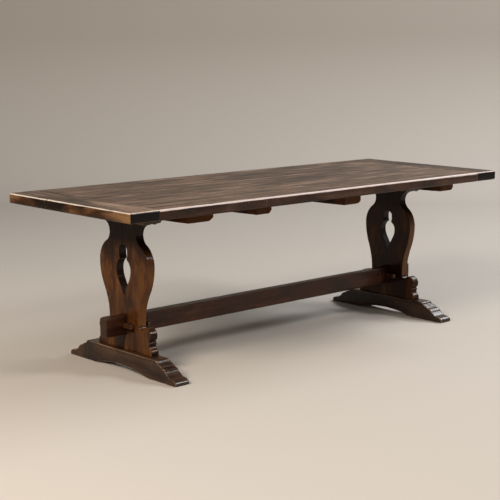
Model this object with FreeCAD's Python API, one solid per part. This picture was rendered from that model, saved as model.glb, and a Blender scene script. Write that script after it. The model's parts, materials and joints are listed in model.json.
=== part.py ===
import FreeCAD, Part
import math
import os

# A refectory table on two trestles, in millimetres.
# X runs along the table, Y from its front to its back and Z up.
# The origin is on the floor, below the middle of the top.

# Whole table
table_length = 2400.0
table_width = 900.0
table_height = 780.0
joint_gap = 0.3
cut_overrun = 5.0

# Top: three planks along the table and a breadboard across each end
top_thickness = 47.0
breadboard_width = 152.0
front_plank_width = 343.0
back_plank_width = 250.0
top_arris = 6.0
under_arris = 3.0
corner_radius = 9.0

# Joints inside the top
plank_tenon_thickness = 14.0
end_tongue_length = 18.0
end_tongue_stop = 25.0
plank_tenon_length = 95.0
plank_tenon_width_share = 0.24
plank_tenon_place_shares = (-0.25, 0.25)
loose_tongue_thickness = 10.0
loose_tongue_width = 30.0
breadboard_peg_radius = 6.0
breadboard_peg_length = 34.0
breadboard_peg_setback = 50.0
breadboard_peg_play = 3.0

# Battens under the top, from left to right
batten_length = 600.0
batten_end_depth = 55.0
batten_camber = 5.0
batten_chamfer_height = 21.0
batten_arris = 4.0
batten_1_width = 147.0
batten_2_width = 97.0
batten_3_width = 113.0
batten_4_width = 108.0
batten_chamfer_share = 0.4
batten_depth_shares = {"batten_1": 1.0, "batten_2": 1.0, "batten_3": 1.16, "batten_4": 1.03}
batten_place_shares = {"batten_1": -0.8597, "batten_2": -0.4021, "batten_3": 0.3203}
last_batten_share = 0.478

# Wrought nails up through the battens and bearers
nail_thickness = 7.0
nail_tip_thickness = 2.0
nail_head_width = 14.0
nail_head_height = 4.0
nail_bite = 28.0
batten_nail_shares = (-0.85, -0.25, 0.25, 0.85)

# Trestles
trestle_inset = 316.5
upright_thickness = 42.0
base_half_width = 195.0
moulding_height = 120.0
belly_half_width = 166.0
waist_half_width = 108.0
cove_radius = 49.0
cove_lip = 6.0

# Keyhole piercing of the uprights
piercing_half_width = 51.0

# The two uprights are sawn by hand, so their outlines and piercings differ a little
lyre_shares = {"left": 1.055, "right": 0.945}
piercing_width_shares = {"left": 1.0, "right": 0.94}
# The piercing's point and height are shares of the lyre's height
piercing_point_shares = {"left": 0.3136, "right": 0.3457}
piercing_height_shares = {"left": 0.563, "right": 0.494}

# Tenons, pegs and dowels of the uprights
tenon_thickness = 22.0
tenon_inset = 22.0
foot_tenon_width = 128.0
foot_tenon_depth = 52.0
bearer_tenon_width = 80.0
bearer_tenon_depth = 40.0
dowel_radius = 6.0
dowel_length = 84.0
foot_peg_radius = 6.0
foot_peg_length = 60.0
bearer_peg_radius = 5.0
bearer_peg_length = 92.0

# Bearers, which stand a little further in than the uprights
bearer_length = 344.0
bearer_width = 104.0
bearer_depth = 62.0
bearer_offset = 12.0
bearer_chamfer = 6.0
bearer_nail_shares = (-0.9, 0.9)

# Feet, which stand a little further out than the uprights
foot_half_length = 392.0
foot_height = 91.0
foot_thickness = 76.0
foot_offset = 7.0
arch_half_span = 190.0
arch_height = 25.0
foot_arris = 2.5

# Stretcher and keys
stretcher_thickness = 44.0
stretcher_height = 87.0
stretcher_lift = 163.0
stretcher_projection = 116.5
stretcher_arris = 3.0
key_thickness = 20.0
key_height = 22.0
key_tip_height = 19.0
key_length = 160.0
key_bevel = 4.0
key_bevel_length = 7.0
left_inner_key_clearance = 27.0
right_inner_key_clearance = 14.0

# Outline of an upright, as (half width, height) shares
# The moulding's shares are of the base's half width and the moulding's height
base_block_shares = ((1.0, 0.13),)
ovolo_shares = ((0.985, 0.20), (0.955, 0.255))
base_cove_shares = ((0.925, 0.31), (0.918, 0.42))
fillet_shares = ((0.935, 0.435), (0.935, 0.495), (0.90, 0.52))
bead_side_shares = ((0.968, 0.70), (0.945, 0.88))
bead_crown_shares = ((0.815, 1.017), (0.66, 0.905))
notch_cove_width_share = 0.06
notch_cove_bulge_share = 0.3
# The lyre's shares are of the belly's half width and of the height from moulding to neck
waist_height_share = 0.03
belly_height_share = 0.670
neck_share = 0.558
# How much of each double bend is taken by its lower arc
flank_bend_share = 0.53
shoulder_bend_share = 0.68

# Half outline of the piercing, from its point to its crown, as shares of its half width and height
piercing_flank_shares = ((0.76, 0.306),)
piercing_belly_shares = ((0.94, 0.41), (1.0, 0.52))
piercing_shoulder_shares = ((0.83, 0.64), (0.44, 0.712))
piercing_lobe_shares = ((0.55, 0.775), (0.57, 0.865))
piercing_crown_shares = ((0.42, 0.964), (0.0, 1.0))

# Half outline of a foot's toe, from its top to the floor, as shares of its half length and height
toe_top_share = 0.640
toe_round_shares = ((0.664, 0.96), (0.672, 0.868))
toe_tread_shares = ((0.700, 0.835), (0.712, 0.80))
toe_step_shares = ((0.735, 0.775), (0.742, 0.72))
toe_second_tread_shares = ((0.785, 0.67),)
toe_second_step_shares = ((0.797, 0.65), (0.800, 0.612))
toe_lip_shares = ((0.815, 0.598),)
toe_hollow_shares = ((0.845, 0.445), (0.890, 0.33))
toe_flat_shares = ((0.935, 0.295),)
toe_nose_shares = ((0.985, 0.21), (1.0, 0.09))
toe_sole_share = 0.990

# Levels and places that follow from the sizes above
sides = {"left": -1, "right": 1}
origin = FreeCAD.Vector(0, 0, 0)
along = FreeCAD.Vector(1, 0, 0)
across = FreeCAD.Vector(0, 1, 0)
up = FreeCAD.Vector(0, 0, 1)
top_underside = table_height - top_thickness
top_middle = table_height - top_thickness / 2
bearer_underside = top_underside - bearer_depth
stretcher_top = stretcher_lift + stretcher_height
moulding_top = foot_height + moulding_height
neck_level = bearer_underside - cove_lip - cove_radius
lyre_height = neck_level - moulding_top
half_plank_length = table_length / 2 - breadboard_width
trestle_x = table_length / 2 - trestle_inset
bearer_inner_x = trestle_x - bearer_offset - bearer_width / 2
bearer_outer_x = trestle_x - bearer_offset + bearer_width / 2
front_joint = -table_width / 2 + front_plank_width
back_joint = table_width / 2 - back_plank_width
batten_widths = {
    "batten_1": batten_1_width,
    "batten_2": batten_2_width,
    "batten_3": batten_3_width,
    "batten_4": batten_4_width,
}
plank_ranges = {
    "top_plank_front": (-table_width / 2, front_joint - joint_gap / 2),
    "top_plank_middle": (front_joint + joint_gap / 2, back_joint - joint_gap / 2),
    "top_plank_back": (back_joint + joint_gap / 2, table_width / 2),
}


def span(centre, width):
    """Range of a width about a centre."""
    return (centre - width / 2, centre + width / 2)


def block(x_range, y_range, z_range):
    """Box between two values on each axis."""
    corner = FreeCAD.Vector(x_range[0], y_range[0], z_range[0])
    sides = [high - low for low, high in (x_range, y_range, z_range)]
    return Part.makeBox(*sides, corner)


def mirrored(shape, normal):
    """The shape reflected through the middle of the table."""
    return shape.mirror(origin, normal)


def joined(shapes):
    """The shapes fused into one solid, without seams between flush faces."""
    solid = shapes[0].multiFuse(shapes[1:])
    return solid.removeSplitter()


def rounded(shape, radius, is_wanted):
    """Round the edges whose middle passes a test."""
    edges = [edge for edge in shape.Edges if is_wanted(edge.CenterOfMass)]
    return shape.makeFillet(radius, edges)


def chamfered(shape, width, is_wanted):
    """Chamfer the edges whose middle passes a test."""
    edges = [edge for edge in shape.Edges if is_wanted(edge.CenterOfMass)]
    return shape.makeChamfer(width, edges)


def meets(value, target):
    """Whether a coordinate lies on a plane."""
    return abs(value - target) < joint_gap / 10


class Outline:
    """A closed outline in the plane x = 0, drawn edge by edge from a start point (y, z)."""

    def __init__(self, start):
        self.start = start
        self.last = start
        self.edges = []

    def line(self, *ends):
        """Straight edges through the given points."""
        for end in ends:
            segment = Part.LineSegment(FreeCAD.Vector(0, *self.last), FreeCAD.Vector(0, *end))
            self.edges.append(segment.toShape())
            self.last = end

    def arc(self, middle, end):
        """Circular edge through a middle point."""
        points = [FreeCAD.Vector(0, *point) for point in (self.last, middle, end)]
        self.edges.append(Part.Arc(*points).toShape())
        self.last = end

    def double_bend(self, end, lower_share):
        """Two tangent arcs that leave and arrive upright; the share is the lower arc's part of the bend."""
        low_y, low_z = self.last
        shift = end[0] - low_y
        rise = end[1] - low_z
        turn = 2 * math.atan2(abs(shift), rise)
        radii = rise / math.sin(turn)
        way = math.copysign(1, shift)
        for radius, foot_y, foot_z, side, first in (
            (radii * lower_share, low_y, low_z, 1, True),
            (radii * (1 - lower_share), *end, -1, False),
        ):
            def at(angle):
                offset = radius * (1 - math.cos(angle)) * way * side
                return (foot_y + offset, foot_z + radius * math.sin(angle) * side)
            self.arc(at(turn / 2), at(turn) if first else end)

    def extruded(self, x_range):
        """Close the outline and extrude it between two values of x."""
        self.line(self.start)
        face = Part.Face(Part.Wire(self.edges))
        face.translate(along * x_range[0])
        return face.extrude(along * (x_range[1] - x_range[0]))


def scaled_points(shares, width, height, base=0):
    """Points (y, z) from shares of a width and of a height above a base."""
    return [(width * width_share, base + height * height_share) for width_share, height_share in shares]


# Fasteners and the holes they sit in

def polygon_face(corners):
    """Flat face with the given corners."""
    return Part.Face(Part.makePolygon([*corners, corners[0]]))


def flat_sided(sections):
    """Solid with flat sides through parallel polygons that have their corners in the same order."""
    faces = [polygon_face(sections[0][::-1]), polygon_face(sections[-1])]
    for lower, upper in zip(sections, sections[1:]):
        for here in range(len(lower)):
            behind = here - 1
            faces.append(polygon_face([lower[behind], lower[here], upper[here], upper[behind]]))
    solid = Part.Solid(Part.Shell(faces))
    return solid if solid.Volume > 0 else solid.reversed()


def ring(centre, first, second):
    """Corners of a polygon about a centre: a rectangle when given two half widths as vectors."""
    return [centre - first - second, centre + first - second, centre + first + second, centre - first + second]


def octagon(centre, direction, radius):
    """Corners of an octagon about a centre, square to a direction."""
    side = up if abs(direction.z) < 1 else along
    other = direction.cross(side)
    turns = [2 * math.pi * (corner + 1 / 2) / 8 for corner in range(8)]
    return [centre + side * (radius * math.cos(turn)) + other * (radius * math.sin(turn)) for turn in turns]


def peg(start, direction, radius, length):
    """Eight-sided riven peg with a tapered tip."""
    taper = radius
    return flat_sided([
        octagon(start, direction, radius),
        octagon(start + direction * (length - taper), direction, radius),
        octagon(start + direction * length, direction, radius / 2),
    ])


def peg_hole(start, direction, radius, length):
    """Cutter for a peg's hole, open at its start."""
    wide = radius + joint_gap / 2
    mouth = octagon(start - direction * cut_overrun, direction, wide)
    return flat_sided([mouth, octagon(start + direction * (length + joint_gap), direction, wide)])


def nail_half_thickness(z, seat):
    """Half the thickness of a nail's tapering shank at a height."""
    share = (z - seat) / (top_underside + nail_bite - seat)
    return (nail_thickness + (nail_tip_thickness - nail_thickness) * share) / 2


def nail_section(x, y, z, half_width):
    """Square across a nail."""
    return ring(FreeCAD.Vector(x, y, z), along * half_width, across * half_width)


def nail(x, y, seat):
    """Wrought nail with a pyramid head below its seat and a shank that tapers up into the top."""
    head = nail_head_width / 2
    tip = top_underside + nail_bite
    crown = nail_section(x, y, seat - nail_head_height, head / 2)
    rim = nail_section(x, y, seat, head)
    shank = [nail_section(x, y, z, nail_half_thickness(z, seat)) for z in (seat, tip)]
    return joined([flat_sided([crown, rim]), flat_sided(shank)])


def nail_hole(x, y, seat):
    """Cutter for a nail's shank, open below the piece that the nail holds."""
    ends = (seat - cut_overrun, top_underside + nail_bite + joint_gap)
    gap = joint_gap / 2
    return flat_sided([nail_section(x, y, z, nail_half_thickness(z, seat) + gap) for z in ends])


def batten_x(name):
    """Middle of a batten along the table: the last one stands beyond the right bearer."""
    if name in batten_place_shares:
        return batten_place_shares[name] * bearer_inner_x
    return bearer_outer_x + (half_plank_length - bearer_outer_x) * last_batten_share


def batten_end_underside(name):
    """Height of a batten's underside at its ends."""
    return top_underside - batten_end_depth * batten_depth_shares[name]


def batten_underside(name, y):
    """Height of a batten's cambered underside."""
    low = batten_end_underside(name) - batten_camber
    radius = ((batten_length / 2) ** 2 + batten_camber ** 2) / (2 * batten_camber)
    return low + radius - math.sqrt(radius ** 2 - y ** 2)


def batten_nail_places():
    """Every batten nail as (x, y, height of its seat)."""
    places = []
    for name in batten_widths:
        for share in batten_nail_shares:
            y = share * batten_length / 2
            inner_edge = max(abs(y) - nail_head_width / 2, 0)
            places.append((batten_x(name), y, batten_underside(name, inner_edge)))
    return places


def bearer_nail_places():
    """Every bearer nail as (x, y, height of its seat)."""
    # Each nail stands midway between the tenon and the bearer's side
    reach = (bearer_width + tenon_thickness) / 4
    return [
        (side * (trestle_x - bearer_offset / 2 + way * reach), share * bearer_length / 2, bearer_underside)
        for side in sides.values()
        for way in (-1, 1)
        for share in bearer_nail_shares
    ]


def nail_cutters():
    """Cutters for every nail in the top."""
    return [nail_hole(*place) for place in batten_nail_places() + bearer_nail_places()]


# Top

def plank_tenon_places():
    """Every tenon at one end of the planks as (centre y, width, whether it is an outer one)."""
    places = []
    for name, (front, back) in plank_ranges.items():
        width = back - front
        for share in plank_tenon_place_shares:
            centre = (front + back) / 2 + share * width
            is_outer = name != "top_plank_middle"
            places.append((centre, width * plank_tenon_width_share, is_outer))
    return places


def breadboard_peg_start(centre_y):
    """Mouth of a breadboard peg's hole at the right end, on the underside."""
    return FreeCAD.Vector(half_plank_length + breadboard_peg_setback, centre_y, top_underside)


def tenon_slot(centre_y, is_outer):
    """Cutter for a peg in a plank's tenon: outer tenons can swell and shrink past their pegs."""
    start = breadboard_peg_start(centre_y)
    hole = peg_hole(start, up, breadboard_peg_radius, top_thickness)
    if not is_outer:
        return hole
    play = across * breadboard_peg_play
    half = breadboard_peg_radius * math.cos(math.pi / 8)
    x_range = span(start.x, 2 * half)
    y_range = span(centre_y, 2 * breadboard_peg_play)
    middle = block(x_range, y_range, (top_underside - cut_overrun, table_height))
    return joined([hole.translated(play), hole.translated(play * -1), middle])


def end_tongue(y_range, width_of_tenons):
    """Tongue and tenons at the right end of a plank."""
    thickness = span(top_middle, plank_tenon_thickness)
    front = max(y_range[0], -table_width / 2 + end_tongue_stop)
    back = min(y_range[1], table_width / 2 - end_tongue_stop)
    tongue = block((0, half_plank_length + end_tongue_length), (front, back), thickness)
    pieces = [tongue]
    for centre, width, is_outer in width_of_tenons:
        tenon = block((0, half_plank_length + plank_tenon_length), span(centre, width), thickness)
        pieces.append(tenon.cut(tenon_slot(centre, is_outer)))
    return joined(pieces)


def loose_tongue_groove(joint_y):
    """Cutter for the grooves on both sides of a joint between planks."""
    x_range = span(0, 2 * half_plank_length + 2 * cut_overrun)
    y_range = span(joint_y, loose_tongue_width + joint_gap)
    return block(x_range, y_range, span(top_middle, loose_tongue_thickness + joint_gap))


def plank(name):
    """One plank of the top with its tongues, tenons, grooves and nail holes."""
    y_range = plank_ranges[name]
    board = block(span(0, 2 * half_plank_length), y_range, (top_underside, table_height))
    outer = table_width / 2
    if name != "top_plank_middle":
        board = rounded(board, top_arris, lambda at: meets(abs(at.y), outer) and meets(at.z, table_height))
        board = chamfered(board, under_arris, lambda at: meets(abs(at.y), outer) and meets(at.z, top_underside))
    tenons = [
        place for place in plank_tenon_places() if y_range[0] < place[0] < y_range[1]
    ]
    right_end = end_tongue(y_range, tenons)
    # The tongue's inner half lies in the board and vanishes in the union
    solid = joined([board, right_end, mirrored(right_end, along)])
    return solid.cut([loose_tongue_groove(front_joint), loose_tongue_groove(back_joint), *nail_cutters()])


def loose_tongue(joint_y):
    """Strip that keys two planks together."""
    x_range = span(0, 2 * half_plank_length - joint_gap)
    y_range = span(joint_y, loose_tongue_width - joint_gap)
    return block(x_range, y_range, span(top_middle, loose_tongue_thickness - joint_gap))


def breadboard():
    """Right breadboard end, grooved and mortised for the planks."""
    inner = half_plank_length + joint_gap
    outer = table_length / 2
    board = block((inner, outer), span(0, table_width), (top_underside, table_height))
    board = rounded(board, corner_radius, lambda at: meets(at.x, outer) and meets(at.z, top_middle))
    board = rounded(board, top_arris, lambda at: meets(at.z, table_height) and not meets(at.x, inner))
    board = chamfered(board, under_arris, lambda at: meets(at.z, top_underside) and not meets(at.x, inner))
    thickness = span(top_middle, plank_tenon_thickness + joint_gap)
    groove_x = (inner - cut_overrun, half_plank_length + end_tongue_length + joint_gap)
    groove = block(groove_x, span(0, table_width - 2 * end_tongue_stop + 2 * joint_gap), thickness)
    cutters = [groove]
    for centre, width, is_outer in plank_tenon_places():
        play = breadboard_peg_play if is_outer else 0
        mortise_x = (inner - cut_overrun, half_plank_length + plank_tenon_length + joint_gap)
        mortise_y = span(centre, width + 2 * play + 2 * joint_gap)
        cutters.append(block(mortise_x, mortise_y, thickness))
        start = breadboard_peg_start(centre)
        cutters.append(peg_hole(start, up, breadboard_peg_radius, breadboard_peg_length))
    return board.cut(cutters)


def breadboard_pegs():
    """Pegs up through both breadboards and the planks' tenons."""
    right = [
        peg(breadboard_peg_start(centre), up, breadboard_peg_radius, breadboard_peg_length)
        for centre, width, is_outer in plank_tenon_places()
    ]
    return Part.makeCompound(right + [mirrored(one, along) for one in right])


def batten(name):
    """Cross batten under the top, cambered along its underside and cut away at its right lower arris."""
    half_width = batten_widths[name] / 2
    end_low = batten_end_underside(name)
    low = end_low - batten_camber
    section = Outline((-half_width, top_underside))
    section.line((-half_width, low + batten_arris), (-half_width + batten_arris, low))
    chamfer_width = batten_widths[name] * batten_chamfer_share
    bulge = (half_width - chamfer_width / 3, low + batten_chamfer_height / 3)
    section.line((half_width - chamfer_width, low))
    section.arc(bulge, (half_width, low + batten_chamfer_height))
    section.line((half_width, top_underside))
    bar = section.extruded(span(0, batten_length))
    bar.rotate(origin, up, -90)
    side = Outline((-batten_length / 2, top_underside))
    side.line((-batten_length / 2, end_low))
    side.arc((0, low), (batten_length / 2, end_low))
    side.line((batten_length / 2, top_underside))
    camber = side.extruded(span(0, 2 * half_width))
    bar = bar.common(camber)
    bar.translate(along * batten_x(name))
    return bar.cut(nail_cutters())


# Trestles are drawn about x = 0, with the middle of the table on their +X side

def at_side(shape, side):
    """Place a trestle piece at the left end (-1) or, mirrored, at the right end (1)."""
    if side > 0:
        shape = mirrored(shape, along)
    return shape.translated(along * (side * trestle_x))


def tenon_range(width):
    """Range in y of a tenon on an upright's back board."""
    return (tenon_inset, tenon_inset + width)


def foot_peg_starts():
    """Mouths of the peg holes across a foot, on the side that faces the middle of the table."""
    x = foot_thickness / 2 - foot_offset
    y = tenon_inset + foot_tenon_width / 2
    level = foot_height - foot_tenon_depth / 2
    return [FreeCAD.Vector(x, way * y, level) for way in (-1, 1)]


def bearer_peg_starts():
    """Mouths of the peg holes across a bearer, on the side that faces the middle of the table."""
    x = bearer_width / 2 + bearer_offset
    y = tenon_inset + bearer_tenon_width / 2
    level = bearer_underside + bearer_tenon_depth / 2
    return [FreeCAD.Vector(x, way * y, level) for way in (-1, 1)]


def peg_cutters():
    """Cutters for every peg across a trestle."""
    outward = along * -1
    feet = [peg_hole(start, outward, foot_peg_radius, foot_peg_length) for start in foot_peg_starts()]
    bearers = [peg_hole(start, outward, bearer_peg_radius, bearer_peg_length) for start in bearer_peg_starts()]
    return feet + bearers


def piercing_range(side_name):
    """Heights of the point and of the crown of an upright's piercing."""
    point = moulding_top + lyre_height * piercing_point_shares[side_name]
    return (point, point + lyre_height * piercing_height_shares[side_name])


def dowel_levels(side_name):
    """Heights of the dowels: below the stretcher, above it and above the piercing."""
    point, crown = piercing_range(side_name)
    return [
        (foot_height + stretcher_lift) / 2,
        (stretcher_top + point) / 2,
        (crown + bearer_underside) / 2,
    ]


def upright_outline(side_name):
    """Outer outline of the back board of an upright."""
    lyre_half = belly_half_width * lyre_shares[side_name]
    neck = lyre_half * neck_share
    notch_cove = base_half_width * notch_cove_width_share

    def moulding(shares):
        return scaled_points(shares, base_half_width, moulding_height, foot_height)

    outline = Outline((joint_gap / 2, foot_height))
    outline.line((base_half_width, foot_height), *moulding(base_block_shares))
    outline.arc(*moulding(ovolo_shares))
    outline.arc(*moulding(base_cove_shares))
    outline.line(*moulding(fillet_shares))
    outline.arc(*moulding(bead_side_shares))
    outline.arc(*moulding(bead_crown_shares))
    notch_floor = outline.last[1]
    outline.line((waist_half_width + notch_cove, notch_floor))
    bulge = (
        waist_half_width + notch_cove * notch_cove_bulge_share,
        notch_floor + (moulding_top - notch_floor) * notch_cove_bulge_share,
    )
    outline.arc(bulge, (waist_half_width, moulding_top))
    outline.line((waist_half_width, moulding_top + lyre_height * waist_height_share))
    outline.double_bend((lyre_half, moulding_top + lyre_height * belly_height_share), flank_bend_share)
    outline.double_bend((neck, neck_level), shoulder_bend_share)
    cove_centre = neck + cove_radius
    reach = cove_radius / math.sqrt(2)
    outline.arc((cove_centre - reach, neck_level + reach), (cove_centre, neck_level + cove_radius))
    outline.line((cove_centre, bearer_underside), (joint_gap / 2, bearer_underside))
    return outline


def piercing(side_name):
    """Cutter for the keyhole piercing: a small lobe over a pointed teardrop."""
    point, crown = piercing_range(side_name)
    half_width = piercing_half_width * piercing_width_shares[side_name]

    def points(shares):
        return scaled_points(shares, half_width, crown - point, point)

    half = Outline((0, point))
    half.line(*points(piercing_flank_shares))
    half.arc(*points(piercing_belly_shares))
    half.arc(*points(piercing_shoulder_shares))
    half.arc(*points(piercing_lobe_shares))
    half.arc(*points(piercing_crown_shares))
    back = half.extruded(span(0, upright_thickness + 2 * cut_overrun))
    return joined([back, mirrored(back, across)])


def stretcher_mortise():
    """Cutter for the stretcher's way through an upright."""
    return block(
        span(0, upright_thickness + 2 * cut_overrun),
        span(0, stretcher_thickness + 2 * joint_gap),
        (stretcher_lift - joint_gap, stretcher_top + joint_gap),
    )


def upright_board(side_name):
    """Back board of an upright, with its tenons, holes and half of the piercing."""
    board = upright_outline(side_name).extruded(span(0, upright_thickness))
    foot_tenon = block(
        span(0, tenon_thickness),
        tenon_range(foot_tenon_width),
        (foot_height - foot_tenon_depth, foot_height),
    )
    bearer_tenon = block(
        span(0, tenon_thickness),
        tenon_range(bearer_tenon_width),
        (bearer_underside, bearer_underside + bearer_tenon_depth),
    )
    board = joined([board, foot_tenon, bearer_tenon])
    dowel_holes = [
        peg_hole(FreeCAD.Vector(0, 0, level), across, dowel_radius, dowel_length / 2)
        for level in dowel_levels(side_name)
    ]
    return board.cut([piercing(side_name), stretcher_mortise(), *dowel_holes, *peg_cutters()])


def dowels(side_name):
    """Dowels across the middle joint of an upright."""
    rods = []
    for level in dowel_levels(side_name):
        start = FreeCAD.Vector(0, -dowel_length / 2, level)
        rods.append(peg(start, across, dowel_radius, dowel_length))
    return Part.makeCompound(rods)


def foot():
    """Foot of a trestle: stepped toes, an arched underside and mortises for the upright."""
    def points(shares):
        return scaled_points(shares, foot_half_length, foot_height)

    half = Outline((0, 0))
    half.line((0, foot_height), (toe_top_share * foot_half_length, foot_height))
    half.arc(*points(toe_round_shares))
    half.line(*points(toe_tread_shares))
    half.arc(*points(toe_step_shares))
    half.line(*points(toe_second_tread_shares))
    half.arc(*points(toe_second_step_shares))
    half.line(*points(toe_lip_shares))
    half.arc(*points(toe_hollow_shares))
    half.line(*points(toe_flat_shares))
    half.arc(*points(toe_nose_shares))
    half.line((toe_sole_share * foot_half_length, 0))
    back = half.extruded(span(-foot_offset, foot_thickness))
    solid = joined([back, mirrored(back, across)])
    solid = chamfered(solid, foot_arris, lambda at: meets(at.z, foot_height) and meets(at.y, 0))
    arch = Outline((-arch_half_span, 0))
    arch.arc((0, arch_height), (arch_half_span, 0))
    mortise = block(
        span(0, tenon_thickness + joint_gap),
        (tenon_inset - joint_gap, tenon_inset + foot_tenon_width + joint_gap),
        (foot_height - foot_tenon_depth - joint_gap, foot_height + cut_overrun),
    )
    cutters = [arch.extruded(span(-foot_offset, foot_thickness + 2 * cut_overrun))]
    cutters += [mortise, mirrored(mortise, across), *peg_cutters()]
    return solid.cut(cutters)


def bearer():
    """Bearer between an upright and the top."""
    solid = block(
        span(bearer_offset, bearer_width),
        span(0, bearer_length),
        (bearer_underside, top_underside),
    )
    end = bearer_length / 2
    solid = chamfered(
        solid, bearer_chamfer, lambda at: meets(abs(at.y), end) and meets(at.z, bearer_underside)
    )
    mortise = block(
        span(0, tenon_thickness + joint_gap),
        (tenon_inset - joint_gap, tenon_inset + bearer_tenon_width + joint_gap),
        (bearer_underside - cut_overrun, bearer_underside + bearer_tenon_depth + joint_gap),
    )
    return solid.cut([mortise, mirrored(mortise, across), *peg_cutters()])


# Stretcher and keys

def key_half_height(y):
    """Half the height of a key at a place along it: keys taper from front to back."""
    share = (y + key_length / 2) / key_length
    return (key_height + (key_tip_height - key_height) * share) / 2


def key_section(y, inset):
    """Rectangle across a key at a place along it, drawn in by an inset."""
    centre = FreeCAD.Vector(0, y, stretcher_lift + stretcher_height / 2)
    return ring(centre, up * (key_half_height(y) - inset), along * (key_thickness / 2 - inset))


def key():
    """Key with bevelled ends, drawn about x = 0."""
    end = key_length / 2
    return flat_sided([
        key_section(-end, key_bevel),
        key_section(-end + key_bevel_length, 0),
        key_section(end - key_bevel_length, 0),
        key_section(end, key_bevel),
    ])


def key_mortise():
    """Cutter for a key's tapered way through the stretcher, drawn about x = 0."""
    half = stretcher_thickness / 2 + cut_overrun
    return flat_sided([key_section(-half, -joint_gap), key_section(half, -joint_gap)])


def key_offsets(side_name):
    """Places of the outer and inner keys from the middle of an upright."""
    clearance = left_inner_key_clearance if side_name == "left" else right_inner_key_clearance
    outer = -(upright_thickness / 2 + joint_gap + key_thickness / 2)
    inner = upright_thickness / 2 + clearance + key_thickness / 2
    return {"outer": outer, "inner": inner}


def stretcher():
    """Stretcher through both uprights, mortised for four keys."""
    reach = trestle_x + upright_thickness / 2 + stretcher_projection
    bar = block(span(0, 2 * reach), span(0, stretcher_thickness), (stretcher_lift, stretcher_top))
    bar = rounded(bar, stretcher_arris, lambda at: meets(at.x, 0))
    cutters = []
    for side_name, side in sides.items():
        for offset in key_offsets(side_name).values():
            cutters.append(at_side(key_mortise().translated(along * offset), side))
    return bar.cut(cutters)


def build_nodes():
    """Every node of the table by name."""
    nodes = {name: plank(name) for name in plank_ranges}
    nodes["plank_tongue_front"] = loose_tongue(front_joint)
    nodes["plank_tongue_back"] = loose_tongue(back_joint)
    nodes["breadboard_right"] = breadboard()
    nodes["breadboard_left"] = mirrored(nodes["breadboard_right"], along)
    nodes["breadboard_pegs"] = breadboard_pegs()
    for name in batten_widths:
        nodes[name] = batten(name)
    nodes["batten_nails"] = Part.makeCompound([nail(*place) for place in batten_nail_places()])
    nodes["bearer_nails"] = Part.makeCompound([nail(*place) for place in bearer_nail_places()])
    foot_peg_solids = []
    bearer_peg_solids = []
    for side_name, side in sides.items():
        board = upright_board(side_name)
        nodes[f"upright_{side_name}_back"] = at_side(board, side)
        nodes[f"upright_{side_name}_front"] = at_side(mirrored(board, across), side)
        nodes[f"upright_dowels_{side_name}"] = at_side(dowels(side_name), side)
        nodes[f"foot_{side_name}"] = at_side(foot(), side)
        nodes[f"bearer_{side_name}"] = at_side(bearer(), side).cut(nail_cutters())
        for start in foot_peg_starts():
            solid = peg(start, along * -1, foot_peg_radius, foot_peg_length)
            foot_peg_solids.append(at_side(solid, side))
        for start in bearer_peg_starts():
            solid = peg(start, along * -1, bearer_peg_radius, bearer_peg_length)
            bearer_peg_solids.append(at_side(solid, side))
        for key_name, offset in key_offsets(side_name).items():
            nodes[f"key_{side_name}_{key_name}"] = at_side(key().translated(along * offset), side)
    nodes["foot_pegs"] = Part.makeCompound(foot_peg_solids)
    nodes["bearer_pegs"] = Part.makeCompound(bearer_peg_solids)
    nodes["stretcher"] = stretcher()
    return nodes


os.makedirs("parts", exist_ok=True)
for node_name, node_shape in build_nodes().items():
    if not node_shape.isValid():
        raise ValueError(f"{node_name} isn't a valid solid")
    solids = node_shape.Solids
    shape = solids[0] if len(solids) == 1 else Part.makeCompound(solids)
    shape.exportStep(f"parts/{node_name}.step")
    print(node_name, len(solids), round(shape.Volume))
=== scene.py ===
"""A refectory table of old waxed oak: its worn timber, its ironwork, its finishes and its studio."""
import json
import logging
import math
import random
from contextlib import contextmanager
from dataclasses import dataclass, field
from enum import Enum
from typing import Callable, Iterator, Sequence

import bpy
import numpy as np
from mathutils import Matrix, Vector, noise


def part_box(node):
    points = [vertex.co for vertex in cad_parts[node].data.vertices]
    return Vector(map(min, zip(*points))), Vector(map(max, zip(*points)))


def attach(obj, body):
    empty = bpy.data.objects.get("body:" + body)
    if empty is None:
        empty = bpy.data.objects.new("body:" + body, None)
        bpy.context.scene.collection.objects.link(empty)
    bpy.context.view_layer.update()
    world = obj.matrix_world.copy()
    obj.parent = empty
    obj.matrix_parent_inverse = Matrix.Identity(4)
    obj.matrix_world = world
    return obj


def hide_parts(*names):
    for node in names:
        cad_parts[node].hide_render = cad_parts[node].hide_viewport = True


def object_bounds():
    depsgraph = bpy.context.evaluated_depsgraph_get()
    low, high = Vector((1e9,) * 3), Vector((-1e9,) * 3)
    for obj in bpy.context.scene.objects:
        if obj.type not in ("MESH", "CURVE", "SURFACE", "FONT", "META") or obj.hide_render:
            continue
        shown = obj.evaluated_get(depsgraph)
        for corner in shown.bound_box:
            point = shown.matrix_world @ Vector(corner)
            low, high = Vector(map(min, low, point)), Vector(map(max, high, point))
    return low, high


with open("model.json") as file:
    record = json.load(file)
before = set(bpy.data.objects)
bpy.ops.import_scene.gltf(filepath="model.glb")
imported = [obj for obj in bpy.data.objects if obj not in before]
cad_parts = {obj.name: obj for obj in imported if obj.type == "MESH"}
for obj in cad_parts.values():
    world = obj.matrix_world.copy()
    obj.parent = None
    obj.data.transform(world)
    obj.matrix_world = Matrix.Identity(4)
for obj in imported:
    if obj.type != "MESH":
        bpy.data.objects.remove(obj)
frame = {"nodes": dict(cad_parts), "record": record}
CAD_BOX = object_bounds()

log = logging.getLogger("refectory_table")

MM = 0.001
Triple = tuple[float, float, float]
Span = tuple[float, float]
Marks = dict[str, bpy.types.NodeSocket]


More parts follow.
